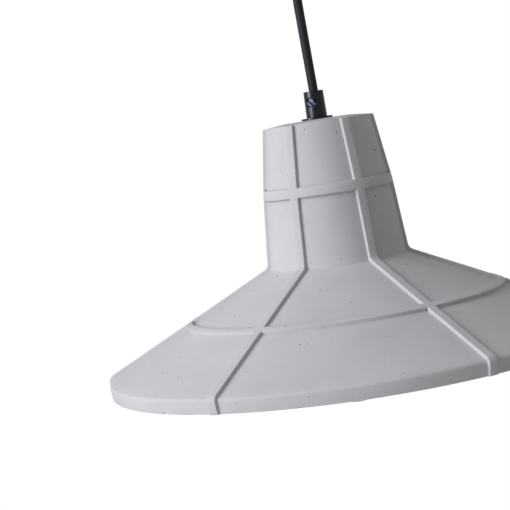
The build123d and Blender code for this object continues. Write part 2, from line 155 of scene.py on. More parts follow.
class FinishSettings(bpy.types.PropertyGroup):
    """Colours of the finishes."""
    concrete: colour("Concrete", "C8C8CC", "Dry cement skin of the casting")
    paint: colour("Satin paint", "131723", "Black paint on the grips, flange and canopy")
    braid: colour("Braid", "14161D", "Dyed yarn of the cord")


class StudioSettings(bpy.types.PropertyGroup):
    """Camera and light."""
    camera_distance: length("Camera distance", 1.12342, "From the lamp's axis")
    camera_height: length("Camera height", -0.16302, "Above the ceiling, so negative is below it")
    camera_azimuth: degrees("Camera azimuth", 1.292, "Turn round the lamp from its front")
    yaw: degrees("Yaw", -4.329, "Turn of the view to the right of straight ahead")
    pitch: degrees("Pitch", -4.272, "Tilt of the view above the horizon")
    roll: degrees("Roll", -8.803, "Turn of the camera about its view")
    lens: number("Lens", 109.2, "Focal length on a 36 mm sensor", unit="CAMERA")
    key_azimuth: degrees("Key azimuth", 58, "Key light's turn to the left of the camera")
    key_elevation: degrees("Key elevation", 19, "Key light's height above the horizon")
    key_distance: length("Key distance", 2.4, "From the shade to the key light")
    key_width: length("Key width", 1.4, "Width of the soft box")
    key_height: length("Key height", 2.0, "Height of the soft box")
    key_power: number("Key power", 55, "Power of the key light", unit="POWER")
    top_power: number("Top power", 0.7, "Power of the light overhead", unit="POWER")
    top_height: length("Top height", 1.4, "Height of the light overhead above the shade's middle")
    ambient: number("Ambient", 0.36, "Strength of the room's own light", min=0)
    depth_fade: number("Depth fade", 0.13, "How much brighter the room is behind the lamp")


# --- materials ---

def put(tree, kind, inputs=(), **settings):
    """Adds a node, sets its properties, and sets or links its inputs."""
    node = tree.nodes.new("ShaderNode" + kind)
    for name, value in settings.items():
        setattr(node, name, value)
    for name, value in dict(inputs).items():
        if isinstance(value, bpy.types.NodeSocket):
            tree.links.new(value, node.inputs[name])
        else:
            node.inputs[name].default_value = value
    return node


def new_finish(name, **values):
    """Starts a material with its uniform values set on the shader itself."""
    material = bpy.data.materials.new(name)
    material.use_nodes = True
    tree = material.node_tree
    shader = tree.nodes["Principled BSDF"]
    for key, value in values.items():
        shader.inputs[key.replace("_", " ")].default_value = value
    place = put(tree, "TexCoord").outputs["Object"]
    return material, tree, shader, place


def clouds(tree, place, size, detail=3.0, roughness=0.5, stretch=(1, 1, 1)):
    """Soft random patches of a real size in metres, as a value about 0.5."""
    mapped = put(tree, "Mapping", {"Vector": place, "Scale": [s / size for s in stretch]})
    patches = put(tree, "TexNoise", {"Vector": mapped.outputs[0], "Scale": 1.0, "Detail": detail,
                                     "Roughness": roughness})
    return patches.outputs[0]


def between(tree, value, low, high, out_low=0.0, out_high=1.0):
    """Value taken from low..high to out_low..out_high, and held at the ends."""
    scaled = put(tree, "MapRange", {"Value": value, "From Min": low, "From Max": high, "To Min": out_low,
                                    "To Max": out_high})
    return scaled.outputs[0]


def blend(tree, factor, first, second, how="MIX"):
    """Colour between first and second."""
    mixed = put(tree, "Mix", {0: factor, 6: first, 7: second}, data_type="RGBA", blend_type=how)
    return mixed.outputs[2]


def raise_bump(tree, shader, height, depth, strength=1.0):
    """Gives the shader a bump from a height of 0..1, depth metres high."""
    bump = put(tree, "Bump", {"Height": height, "Distance": depth, "Strength": strength})
    tree.links.new(bump.outputs[0], shader.inputs["Normal"])
    return bump


def shift(rgb, factor):
    """An RGB colour made lighter or darker, as RGBA."""
    return [min(1.0, c * factor) for c in rgb[:3]] + [1.0]


def concrete_cast_in_mould():
    """Dry cement skin: matte, faintly clouded, with fine sand grain, pinholes and paler rubbed edges, and
    painted shade darkening its pinholes and crevices.
    """
    base = bpy.context.scene.pendant_finish.concrete
    material, tree, shader, place = new_finish("Concrete_cast_in_mould", Roughness=0.88,
                                               Specular_IOR_Level=0.32)
    cloud = between(tree, clouds(tree, place, 46 * MM, 4.0, 0.62), 0.3, 0.7)
    wash = between(tree, clouds(tree, place, 15 * MM, 3.0, 0.6, (1, 1, 0.45)), 0.35, 0.75)
    # Sand under 0.5 mm is too fine to show, so its grain is drawn 1.1 mm wide.
    sand = clouds(tree, place, 1.1 * MM, 2.0, 0.7)
    body = blend(tree, cloud, shift(base, 0.945), shift(base, 1.035))
    body = blend(tree, between(tree, wash, 0.0, 1.0, 0.0, 0.35), body, shift(base, 1.06))
    body = blend(tree, between(tree, sand, 0.3, 0.7, 0.0, 0.22), body, shift(base, 0.8))
    # Pinholes too small to model, 0.5 mm wide and about 9 mm apart, painted dark as the shade inside them.
    cells = put(tree, "TexVoronoi", {"Vector": place, "Scale": 1 / (9 * MM), "Randomness": 1.0})
    pinhole = between(tree, cells.outputs["Distance"], 0.028, 0.05, 1.0, 0.0)
    body = blend(tree, between(tree, pinhole, 0.0, 1.0, 0.0, 0.55), body, shift(base, 0.32))
    # Edges rub paler, and the corners and crevices get painted shade.
    edge = put(tree, "NewGeometry").outputs["Pointiness"]
    body = blend(tree, between(tree, edge, 0.52, 0.6, 0.0, 0.35), body, shift(base, 1.16))
    # Painted shade: concave corners and rib feet are darkened by the mesh's pointiness.
    body = blend(tree, between(tree, edge, 0.42, 0.49, 0.85, 0.0), body, shift(base, 0.5))
    tree.links.new(body, shader.inputs["Base Color"])
    tree.links.new(between(tree, sand, 0.3, 0.7, 0.82, 0.94), shader.inputs["Roughness"])
    height = put(tree, "Math", {0: sand, 1: pinhole}, operation="SUBTRACT").outputs[0]
    raise_bump(tree, shader, height, 0.09 * MM, 0.6)
    return material


def steel_painted_satin_black():
    """Thin black paint on turned steel: a soft broad highlight and a slight orange peel."""
    base = bpy.context.scene.pendant_finish.paint
    material, tree, shader, place = new_finish("Steel_painted_satin_black", Roughness=0.27, IOR=1.55)
    peel = clouds(tree, place, 1.6 * MM, 2.0)
    haze = between(tree, clouds(tree, place, 9 * MM, 3.0), 0.3, 0.7)
    tree.links.new(blend(tree, haze, shift(base, 0.85), shift(base, 1.3)), shader.inputs["Base Color"])
    tree.links.new(between(tree, haze, 0.0, 1.0, 0.25, 0.3), shader.inputs["Roughness"])
    raise_bump(tree, shader, peel, 0.008 * MM, 0.3)
    return material


def turned_lines(tree, place, spacing):
    """Fine rings about Z left by a lathe tool, as a value of 0..1."""
    height = put(tree, "SeparateXYZ", {0: place}).outputs[2]
    shaken = put(tree, "Math", {0: height, 1: 1 / spacing}, operation="MULTIPLY").outputs[0]
    along = put(tree, "CombineXYZ", {2: shaken}).outputs[0]
    return put(tree, "TexNoise", {"Vector": along, "Scale": 1.0, "Detail": 2.0}).outputs[0]


def metal_finish(name, hex_colour, rough, patch_size, tool_lines=0.4 * MM):
    """Bare or plated metal with tool lines and slightly uneven gloss."""
    base = linear(hex_colour)
    material, tree, shader, place = new_finish(name, Metallic=1.0, Roughness=rough)
    lines = turned_lines(tree, place, tool_lines)
    patch = between(tree, clouds(tree, place, patch_size, 4.0, 0.6), 0.3, 0.7)
    tree.links.new(blend(tree, patch, shift(base, 0.82), base), shader.inputs["Base Color"])
    tree.links.new(between(tree, patch, 0.0, 1.0, rough * 0.8, rough * 1.3), shader.inputs["Roughness"])
    raise_bump(tree, shader, lines, 0.015 * MM, 0.5)
    return material


def solder_tin_lead_free():
    """Solder: bright metal frozen in a lumpy, slightly dull drop."""
    material, tree, shader, place = new_finish("Solder_tin_lead_free", Metallic=1.0, Roughness=0.3)
    lumps = clouds(tree, place, 1.2 * MM, 2.0)
    tree.links.new(blend(tree, lumps, linear("9A9B9C"), linear("D4D5D6")), shader.inputs["Base Color"])
    raise_bump(tree, shader, lumps, 0.12 * MM, 0.6)
    return material


def polyester_yarn_braided():
    """Dyed polyester yarn: dark, with fibres along the strands and a soft sheen at grazing angles."""
    base = bpy.context.scene.pendant_finish.braid
    material, tree, shader, place = new_finish("Polyester_yarn_braided", Roughness=0.62, Sheen_Weight=0.35,
                                               Sheen_Roughness=0.4, Specular_IOR_Level=0.4)
    # Fibres are finer than shows, so they are drawn 0.12 mm wide.
    fibre = clouds(tree, place, 0.12 * MM, 2.0, 0.6, (1, 1, 0.25))
    fade = between(tree, clouds(tree, place, 5 * MM, 2.0), 0.3, 0.7)
    dyed = blend(tree, fibre, shift(base, 0.6), shift(base, 2.1))
    tree.links.new(blend(tree, fade, dyed, shift(base, 1.2)), shader.inputs["Base Color"])
    raise_bump(tree, shader, fibre, 0.05 * MM, 0.7)
    return material


def moulded(name, hex_colour, rough, patch_size, grain, tint, **more):
    """Moulded plastic or rubber with a slight flow mottle and mould texture."""
    base = linear(hex_colour)
    material, tree, shader, place = new_finish(name, Roughness=rough, IOR=1.5, **more)
    flow = between(tree, clouds(tree, place, patch_size, 3.0, 0.6), 0.3, 0.7)
    tree.links.new(blend(tree, flow, shift(base, 0.9), shift(base, tint)), shader.inputs["Base Color"])
    tree.links.new(between(tree, flow, 0.0, 1.0, rough * 0.85, rough * 1.15), shader.inputs["Roughness"])
    raise_bump(tree, shader, clouds(tree, place, grain, 2.0), 0.03 * MM, 0.5)
    return material


def pvc_extruded(name, hex_colour, stripe=None):
    """Extruded PVC round a core: plain colour with a soft gloss, and a spiral stripe on an earth core."""
    material, tree, shader, place = new_finish(name, Roughness=0.38, IOR=1.53)
    flow = clouds(tree, place, 2 * MM, 2.0)
    body = blend(tree, flow, shift(linear(hex_colour), 0.85), shift(linear(hex_colour), 1.1))
    if stripe:
        apart = put(tree, "SeparateXYZ", {0: place})
        slant = put(tree, "Math", {0: apart.outputs[0], 1: apart.outputs[2]}, operation="ADD").outputs[0]
        wave = put(tree, "Math", {0: slant, 1: 2 * math.pi / (4 * MM)}, operation="MULTIPLY").outputs[0]
        side = put(tree, "Math", {0: wave}, operation="SINE").outputs[0]
        body = blend(tree, between(tree, side, -0.05, 0.05), body, linear(stripe))
    tree.links.new(body, shader.inputs["Base Color"])
    raise_bump(tree, shader, flow, 0.02 * MM, 0.4)
    return material


def glass_blown_clear():
    """Blown soda-lime glass: clear, with a faint waviness from the mould."""
    material, tree, shader, place = new_finish("Glass_blown_clear", Roughness=0.0, IOR=1.5,
                                               Transmission_Weight=1.0)
    tint = clouds(tree, place, 30 * MM, 1.0)
    tree.links.new(blend(tree, tint, linear("F4F8FB"), linear("FFFFFF")), shader.inputs["Base Color"])
    raise_bump(tree, shader, clouds(tree, place, 14 * MM, 1.0), 0.05 * MM, 0.3)
    return material


def make_finishes():
    """One material for each of the record's slots."""
    finishes.update({
        "cast_concrete": concrete_cast_in_mould(),
        "black_metal": steel_painted_satin_black(),
        "cord_braid": polyester_yarn_braided(),
        "solder": solder_tin_lead_free(),
        "clear_glass": glass_blown_clear(),
        # Bare turned steel of the grip screws: cool grey with a worn satin face.
        "screw_steel": metal_finish("Steel_turned", "59616E", 0.45, 1.5 * MM, 0.2 * MM),
        # Bright zinc: bluish white metal with cloudy patches where the plating dulls.
        "zinc_steel": metal_finish("Steel_zinc_plated", "C3C8CC", 0.32, 4 * MM),
        # Drawn brass: warm yellow with darker handling patches.
        "brass": metal_finish("Brass_drawn", "D6B56A", 0.27, 5 * MM),
        # Nickel-plated rolled brass of the bulb's cap: slightly warm bright metal.
        "nickel_brass": metal_finish("Brass_nickel_plated", "CFC9BE", 0.22, 6 * MM),
        # Drawn nickel wire: grey metal with a soft gloss.
        "nickel_wire": metal_finish("Wire_nickel", "8E8A84", 0.35, 2 * MM),
        # White nylon terminal block: milky and satin.
        "white_plastic": moulded("Nylon_moulded", "E4E3DC", 0.45, 6 * MM, 0.9 * MM, 1.03,
                                 Subsurface_Weight=0.15, Subsurface_Scale=1 * MM),
        # Phenolic resin: near black, hard gloss dulled by filler mottle.
        "black_plastic": moulded("Phenolic_moulded", "131314", 0.3, 3 * MM, 0.8 * MM, 1.7),
        # Black rubber bush: matte, with a dusty bloom.
        "black_rubber": moulded("Rubber_moulded", "1B1B1B", 0.7, 2 * MM, 0.5 * MM, 1.5),
        # Glazed steatite insert: warm white under a clear glaze, with fine pits.
        "porcelain": moulded("Porcelain_glazed", "E9E6DD", 0.25, 5 * MM, 1.2 * MM, 1.02, Coat_Weight=0.6),
        # Black glass between the bulb's contact and cap: glossy and slightly rippled.
        "black_glass": moulded("Glass_black_vitrite", "0B0B10", 0.08, 4 * MM, 2 * MM, 1.6),
        "brown_insulation": pvc_extruded("PVC_extruded_brown", "6B4330"),
        "blue_insulation": pvc_extruded("PVC_extruded_blue", "2F62AE"),
        "green_insulation": pvc_extruded("PVC_extruded_green_yellow", "4E9A34", "E3CF3A"),
    })


# --- mesh helpers ---

def outer_radius(node):
    """Largest radius of a round CAD node."""
    low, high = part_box(node)
    return (high.x - low.x) / 2


def heights(node):
    """Lowest and highest level of a CAD node."""
    low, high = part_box(node)
    return low.z, high.z


def span(node):
    """Lowest level, highest level and radius of a round CAD node."""
    return *heights(node), outer_radius(node)


def polar(r, angle, z=0.0):
    """Point at a radius, angle and height about the lamp's axis."""
    return Vector((r * math.cos(angle), r * math.sin(angle), z))


def shade_faces(mesh, smooth_below):
    """Shades a mesh smooth except at edges sharper than smooth_below degrees."""
    mesh.shade_smooth()
    mesh.set_sharp_from_angle(angle=math.radians(smooth_below))


def finish_mesh(name, mesh, smooth_below=32):
    """Shades a mesh and links its object."""
    shade_faces(mesh, smooth_below)
    piece = bpy.data.objects.new(name, mesh)
    bpy.context.scene.collection.objects.link(piece)
    return piece


def place_piece(piece, *nodes):
    """Puts a finished piece in the place of CAD nodes: on their body and in their finish."""
    slot = SLOT_OF[nodes[0]]
    piece.data.materials.clear()
    piece.data.materials.append(finishes[slot])
    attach(piece, frame["nodes"][nodes[0]]["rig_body"])
    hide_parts(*nodes)
    return piece


def keep_nodes(*names):
    """Gives CAD nodes that stay their finish."""
    for name in names:
        node = frame["nodes"][name]
        for material_slot in node.material_slots:
            material_slot.material = finishes[SLOT_OF[name]]


def arc_corner(corner, back, on, radius, steps):
    """Points of an arc that rounds corner, whose neighbours are back and on."""
    to_back = (back - corner).normalized()
    to_on = (on - corner).normalized()
    half = to_back.angle(to_on) / 2
    reach = min(radius / math.tan(half), 0.48 * (back - corner).length, 0.48 * (on - corner).length)
    radius = reach * math.tan(half)
    centre = corner + (to_back + to_on).normalized() * (radius / math.sin(half))
    first = corner + to_back * reach - centre
    last = corner + to_on * reach - centre
    turn = first.angle_signed(last)
    return [centre + Matrix.Rotation(-turn * i / steps, 2) @ first for i in range(steps + 1)]


def rounded(corners, steps=4):
    """Closed outline through (radius, height, rounding) corners."""
    flat = [Vector(corner[:2]) for corner in corners]
    points = []
    for i, (_, _, rounding) in enumerate(corners):
        if rounding:
            points += arc_corner(flat[i], flat[i - 1], flat[(i + 1) % len(flat)], rounding, steps)
        else:
            points.append(flat[i])
    return points


def mesh_of_rows(name, rows, wrap=True):
    """Mesh of rings of points, joined in order. A ring of one point closes the surface there."""
    vertices = []
    starts = []
    for row in rows:
        starts.append(len(vertices))
        vertices += row
    faces = []
    for i in range(len(rows) if wrap else len(rows) - 1):
        j = (i + 1) % len(rows)
        across, down = len(rows[i]), len(rows[j])
        widest = max(across, down)
        for k in range(widest if widest > 1 else 0):
            a, b = starts[i] + k % across, starts[i] + (k + 1) % across
            c, d = starts[j] + (k + 1) % down, starts[j] + k % down
            faces.append([a, b, c, d] if across == down else ([a, c, d] if across == 1 else [a, b, c]))
    mesh = bpy.data.meshes.new(name)
    mesh.from_pydata(vertices, [], faces)
    bm = bmesh.new()
    bm.from_mesh(mesh)
    bmesh.ops.recalc_face_normals(bm, faces=bm.faces)
    bm.to_mesh(mesh)
    bm.free()
    return mesh


def round_row(r, z, columns, shape=None):
    """Ring of points about Z, or one point on the axis."""
    if r < 1e-7:
        return [Vector((0, 0, z))]
    row = []
    for i in range(columns):
        angle = 2 * math.pi * i / columns
        here = r + (shape(angle, r, z) if shape else 0)
        row.append(polar(here, angle, z))
    return row


def lathe(name, outline, columns=96, shape=None, smooth_below=32):
    """Turned piece about Z from a closed outline of (radius, height) points."""
    rows = [round_row(r, z, columns, shape) for r, z in outline]
    return finish_mesh(name, mesh_of_rows(name, rows), smooth_below)


def turned(name, node, outline, columns=96, shape=None, smooth_below=32):
    """Turned piece that takes the place of a CAD node."""
    return place_piece(lathe(name, outline, columns, shape, smooth_below), node)


def straight_wall(r, low, high, step):
    """Even (radius, height) points up a straight wall, close enough for a thread."""
    count = int((high - low) / step)
    return [(r, low + (high - low) * i / count) for i in range(count + 1)]


def cut(piece, cutter, smooth_below=32):
    """Cuts one piece with another, and removes the cutter."""
    boolean = piece.modifiers.new("cut", "BOOLEAN")
    boolean.operation = "DIFFERENCE"
    boolean.solver = "EXACT"
    boolean.object = cutter
    bpy.context.view_layer.update()
    made = bpy.data.meshes.new_from_object(piece.evaluated_get(bpy.context.evaluated_depsgraph_get()))
    piece.modifiers.clear()
    old = piece.data
    piece.data = made
    bpy.data.meshes.remove(old)
    shade_faces(made, smooth_below)
    bpy.data.objects.remove(cutter)
    return piece


def block(name, size, edge):
    """Box with rounded edges about the origin."""
    bm = bmesh.new()
    bmesh.ops.create_cube(bm, size=1)
    bmesh.ops.scale(bm, vec=size, verts=bm.verts)
    if edge:
        bmesh.ops.bevel(bm, geom=bm.edges[:], offset=edge, segments=3, profile=0.5, affect="EDGES")
    mesh = bpy.data.meshes.new(name)
    bm.to_mesh(mesh)
    bm.free()
    return finish_mesh(name, mesh)


# --- cord ---

def cord_route():
    """The cord's points from inside the lamp's grip up to its pivot in the canopy's grip."""
    end = heights("cord")[0]
    pivot = frame["joints"][0]["pos_m"][2]
    grip_top = heights("lamp_cord_grip")[1]
    # Between its straight ends the cord leans a little about a point above the grip.
    middle = grip_top + 12 * MM
    lean = 0.028

    def leaning(z):
        return (lean * (middle - z), 0, z)

    return [(0, 0, end + 0.2 * MM), leaning(grip_top - 3 * MM), leaning(grip_top + 6 * MM),
            leaning(pivot - 40 * MM), leaning(pivot - 26 * MM), (0, 0, pivot - 9 * MM), (0, 0, pivot)]


def smooth_line(points):
    """Points along the NURBS spline through a route."""
    curve = bpy.data.curves.new("route", "CURVE")
    curve.dimensions = "3D"
    curve.resolution_u = 96
    spline = curve.splines.new("NURBS")
    spline.points.add(len(points) - 1)
    for target, point in zip(spline.points, points):
        target.co = (*point, 1)
    spline.order_u = 3
    spline.use_endpoint_u = True
    route = bpy.data.objects.new("route", curve)
    line = [v.co.copy() for v in bpy.data.meshes.new_from_object(route).vertices]
    bpy.data.objects.remove(route)
    return line


def braid_height(angle, along, settings):
    """Height of a two-over-two braid's surface, 0 between strands and 1 on a strand's back."""
    turns = settings.carriers * angle / (2 * math.pi)
    climb = settings.carriers * along / settings.lay
    right, left = turns + climb, turns - climb
    right_on_top = (math.floor(right) + math.floor(left)) % 2 == 0
    across = (right if right_on_top else left) % 1.0
    lengthwise = (left if right_on_top else right) % 1.0
    back = math.sqrt(max(0.0, 1 - (2 * across - 1) ** 2))
    return back * (0.62 + 0.38 * math.sin(math.pi * lengthwise))


class PENDANT_OT_cord(bpy.types.Operator):
    """Makes the braided cord between the two grips"""
    bl_idname = "pendant.cord"
    bl_label = "Braided cord"

    def execute(self, context):
        settings = context.scene.pendant_cord
        line = smooth_line(cord_route())
        columns = settings.carriers * 8
        full = settings.diameter / 2
        rows = [[line[0]]]
        travelled = 0.0
        for i, spot in enumerate(line):
            ahead = line[min(i + 1, len(line) - 1)] - line[max(i - 1, 0)]
            side = Vector((0, 1, 0)).cross(ahead).normalized()
            front = ahead.cross(side).normalized()
            travelled += (spot - line[i - 1]).length if i else 0
            row = []
            for k in range(columns):
                angle = 2 * math.pi * k / columns
                lift = braid_height(angle, travelled, settings)
                r = full - settings.strand_relief * (1 - lift)
                row.append(spot + r * (math.cos(angle) * side + math.sin(angle) * front))
            rows.append(row)
        rows.append([line[-1]])
        cord = finish_mesh("cord_flex", mesh_of_rows("cord_flex", rows, wrap=False), 60)
        place_piece(cord, "cord")
        return {"FINISHED"}


# --- shade ---

def relief_profile(distance, face, foot):
    """Height of a rib or ring, from 1 on its face to 0 beyond its foot, with softened edges."""
    soft = 0.24
    flank = (foot - face) / 2
    x = (foot / 2 - distance) / flank

    def ramp(value):
        if value <= -soft:
            return 0.0
        return value if value >= soft else (value + soft) ** 2 / (4 * soft)

    return ramp(x) - ramp(x - 1)


# Where the mesh has lines across a flank: 1 is the edge of the face and 0 the foot.
FLANK_LINES = (1.35, 1.12, 0.92, 0.68, 0.32, 0.08, -0.12, -0.35)


def flank_distances(face, foot):
    """Distances from a rib's middle at which its face, flank and foot need a line of the mesh."""
    flank = (foot - face) / 2
    return [foot / 2 - flank * x for x in FLANK_LINES]


def outward(before, after):
    """Sum of the outward normals of two runs of an outline that goes down the shade."""
    return Vector((-before.y - after.y, before.x + after.x))


def shade_corners(s):
    """Panel outline and rib outline of the casting's outside, from the top's flat to the lip's foot.

    Each is a list of (point, rounding), and the two have the same number of corners."""
    low, top = heights("concrete_shade")
    points = [
        Vector((s.top_flat, top)), Vector((s.neck_top, top)), Vector((s.neck_ring, top - s.neck_ring_drop)),
        Vector((s.neck_foot, top - s.neck_foot_drop)), Vector((s.cone_ring, top - s.cone_ring_drop)),
        Vector((s.brim, top - s.brim_drop)), Vector((s.lip, low)),
    ]
    runs = [(b - a).normalized() for a, b in zip(points, points[1:])]
    raised = []
    for i in range(1, len(points)):
        after = runs[min(i, len(runs) - 1)]
        before = runs[i - 1] if i > 1 else after
        raised.append(points[i] + outward(before, after) * (s.relief / (1 + before.dot(after))))

    def on_slope(point, on):
        """Where the line from on to point meets the slope round the flat top."""
        along = point - on
        fall = top + s.top_slope * (s.top_flat - on.x) - on.y
        return on + along * (fall / (along.y + s.top_slope * along.x))

    panel_edge = on_slope(points[1], points[2])
    crest_edge = on_slope(raised[0], raised[1])
    raised[-1] = points[-1].lerp(raised[-1], s.lip_fade)
    panel_roundings = [m * MM for m in (2, 0.6, 0, 2.2, 0, 2.5, 0.6)]
    crest_roundings = [m * MM for m in (2, 0.6, 0, 5.5, 0, 5.0, 1.2)]
    panel = list(zip([points[0], panel_edge] + points[2:], panel_roundings))
    crest = list(zip([points[0], crest_edge] + raised[1:], crest_roundings))
    return panel, crest


def run_stations(s, run_length, ring_at_end, ring_at_start):
    """Fractions along a run of the outline: even steps, and the lines of a ring at either end."""
    marks = []
    if ring_at_start:
        marks += flank_distances(ring_at_start, ring_at_start + s.rib_foot - s.rib_face)
    if ring_at_end:
        marks += [run_length - d for d in flank_distances(ring_at_end, ring_at_end + s.rib_foot - s.rib_face)]
    spacing, clear = 4 * MM, 1.6 * MM
    count = int(run_length / spacing)
    even = [run_length * i / count for i in range(1, count)]
    low = max([d for d in marks if d < run_length / 2], default=2 * clear)
    high = min([d for d in marks if d > run_length / 2], default=run_length - 2 * clear)
    marks += [d for d in even if low + clear < d < high - clear]
    return sorted(mark / run_length for mark in marks)


def outside_rows(s):
    """Rows of the outer face as (panel point, rib point, ring height)."""
    panel, crest = shade_corners(s)
    rows = []

    def corner_points(outline, i):
        point, rounding = outline[i]
        if not rounding:
            return [point]
        back = outline[i - 1][0] if i else Vector((point.x - 10 * MM, point.y))
        on = outline[i + 1][0] if i + 1 < len(outline) else Vector((point.x - 8 * MM, point.y))
        return arc_corner(point, back, on, rounding, 4)

    rings = {2: s.neck_ring_face, 4: s.cone_ring_face}
    for i in range(len(panel)):
        rows += [(a, b) for a, b in zip(corner_points(panel, i), corner_points(crest, i))]
        if 0 < i < len(panel) - 1:
            start, end = panel[i][0], panel[i + 1][0]
            for u in run_stations(s, (end - start).length, rings.get(i + 1), rings.get(i)):
                rows.append((start.lerp(end, u), crest[i][0].lerp(crest[i + 1][0], u)))
    made = []
    for a, b in rows:
        ring = max(relief_profile((a - panel[i][0]).length, face, face + s.rib_foot - s.rib_face)
                   for i, face in rings.items())
        made.append((a, b, ring))
    return made


def inside_rows(s):
    """Rows of the inner face, from the lip's foot up to the hole in the neck's top."""
    low, high = heights("concrete_shade")
    hole = 5.25 * MM
    under_slab = high - s.slab
    neck_taper = (s.neck_ring - s.neck_top) / s.neck_ring_drop
    neck_top = s.neck_top + neck_taper * s.slab - s.wall
    # How far the inner corners are from the outer ones, in wall thicknesses.
    foot_down, brim_in, brim_down = 0.35, 1.35, 0.62
    neck_foot = Vector((s.neck_foot - s.wall, high - s.neck_foot_drop - foot_down * s.wall))
    brim = Vector((s.brim - brim_in * s.wall, high - s.brim_drop - brim_down * s.wall))
    corners = [
        (s.lip - s.wall - 1 * MM, low, 0.8 * MM), (brim.x, brim.y, 3 * MM), (neck_foot.x, neck_foot.y, 4 * MM),
        (neck_top, under_slab, 3 * MM), (hole, under_slab, 0.4 * MM), (hole, high, 0.4 * MM),
        (hole + 3 * MM, high, 0), (s.top_flat - 3 * MM, high, 0),
    ]
    outline = rounded(corners + [(s.lip - 2 * MM, high, 0), (s.lip - 2 * MM, low, 0)], 5)[:-2]
    dense = []
    for a, b in zip(outline, outline[1:]):
        count = max(1, int((b - a).length / (7 * MM)))
        dense += [a.lerp(b, i / count) for i in range(count)]
    return dense + [outline[-1]]


def columns_at(s, r):
    """The mesh's columns at a radius as (angle, distance from a rib's middle).

    Lines beside a rib keep its width, and those between the ribs spread evenly."""
    sector = math.pi / s.ribs
    edges = [0.0, s.rib_face / 4] + flank_distances(s.rib_face, s.rib_foot)
    far = edges[-1] / r
    spread, crowding = 13, 1.15
    half = [(d / r, d) for d in edges]
    half += [(far + (sector - far) * (i / spread) ** crowding, math.inf) for i in range(1, spread + 1)]
    columns = []
    for rib in range(s.ribs):
        middle = 2 * sector * rib
        columns += [(middle - angle, d) for angle, d in half[:0:-1] if angle < sector]
        columns += [(middle + angle, d) for angle, d in half]
    return columns


def wander(point, out, amount):
    """Moves a point of a cast face a little, by smooth noise of a hand-wide and a finger-wide size."""
    broad = noise.noise(point / (70 * MM)) + 0.45 * noise.noise(point / (19 * MM) + Vector((7, 3, 1)))
    return point + out * (amount * broad)


def shade_mesh(s):
    """Mesh of the casting: its outer face with ribs and rings, and its plain inner face."""
    rows = []
    for a, b, ring in outside_rows(s):
        lifted = (b - a).length > 1e-6
        rise = (b - a).normalized()
        row = []
        for angle, distance in columns_at(s, a.x):
            flat = a.lerp(b, max(relief_profile(distance, s.rib_face, s.rib_foot), ring))
            out = polar(1, angle)
            point = out * flat.x + Vector((0, 0, flat.y))
            normal = out * rise.x + Vector((0, 0, rise.y))
            row.append(wander(point, normal, s.unevenness) if lifted else point)
        rows.append(row)
    at_brim, at_neck = columns_at(s, s.brim), columns_at(s, s.neck_top)
    for flat in inside_rows(s):
        mix = min(1.0, max(0.0, (flat.x - s.neck_top) / (s.brim - s.neck_top)))
        rows.append([polar(flat.x, narrow + (wide - narrow) * mix, flat.y)
                     for (wide, _), (narrow, _) in zip(at_brim, at_neck)])
    return mesh_of_rows("concrete_shade_cast", rows)


def lump(bm, centre, size, chance):
    """Adds a small uneven ball, used to cut an air hole or a chip."""
    made = bmesh.ops.create_icosphere(bm, subdivisions=2, radius=1.0)
    offset = Vector([chance.uniform(-50, 50) for _ in range(3)])
    stretch = Vector([chance.uniform(0.8, 1.25) for _ in range(3)])
    turn = Matrix.Rotation(chance.uniform(0, math.tau), 3, Vector((chance.random(), chance.random(), 1)))
    for vertex in made["verts"]:
        ball = vertex.co.copy()
        uneven = 1 + 0.28 * noise.noise(ball * 1.3 + offset)
        shaped = Vector([ball[i] * stretch[i] for i in range(3)]) * uneven * size
        vertex.co = centre + turn @ shaped


def hole_cutters(s, mesh):
    """One mesh of balls at seeded places: air holes over the outer face and beside crossings, and chips."""
    chance = random.Random(s.seed)
    low, high = heights("concrete_shade")
    faces = [p for p in mesh.polygons if outer_face(p, low)]
    areas = [p.area for p in faces]
    bm = bmesh.new()
    taken = []

    def add_apart(centre, size, gap):
        """Adds a ball unless it would come too near another."""
        if all((centre - other).length > gap for other in taken):
            taken.append(centre.copy())
            lump(bm, centre, size, chance)

    for face in chance.choices(faces, areas, k=s.air_holes):
        size = (0.28 + 0.75 * chance.random() ** 3) * MM
        add_apart(face.center + face.normal * size * chance.uniform(-0.35, 0.35), size, 4 * MM)
    for i in range(s.chips):
        at_top = i % 6 == 0
        angle = math.tau * (i + chance.uniform(-0.4, 0.4)) / s.chips
        edge_r, edge_z = (s.neck_top, high) if at_top else (s.lip, low)
        size = chance.uniform(0.9, 2.1) * MM
        out = polar(1, angle, 0.9 if at_top else -1.0).normalized()
        # A ball centred outside the edge bites only its near side out of it.
        add_apart(polar(edge_r, angle, edge_z) + out * size * 0.62, size, 5 * MM)
    panel = [point for point, _ in shade_corners(s)[0]]
    for i, face in ((2, s.neck_ring_face), (4, s.cone_ring_face)):
        along = (panel[i + 1] - panel[i - 1]).normalized()
        for rib in range(s.ribs):
            across, down = chance.choice((-1, 1)), chance.choice((-1, 1))
            spot = panel[i] + along * (down * (face / 2 + 0.7 * MM))
            angle = math.tau * rib / s.ribs + across * s.rib_foot / 2 / spot.x
            lump(bm, polar(spot.x, angle, spot.y), chance.uniform(0.5, 0.9) * MM, chance)
    cutter = bpy.data.meshes.new("holes")
    bm.to_mesh(cutter)
    bm.free()
    piece = bpy.data.objects.new("holes", cutter)
    bpy.context.scene.collection.objects.link(piece)
    return piece


def outer_face(polygon, low):
    """Whether a face of the casting is on its outside and away from its hole."""
    centre = polygon.center
    out = Vector((centre.x, centre.y, 0))
    if out.length < 20 * MM or centre.z < low + 1 * MM:
        return False
    return polygon.normal.dot(out.normalized() + Vector((0, 0, 0.8))) > 0.3


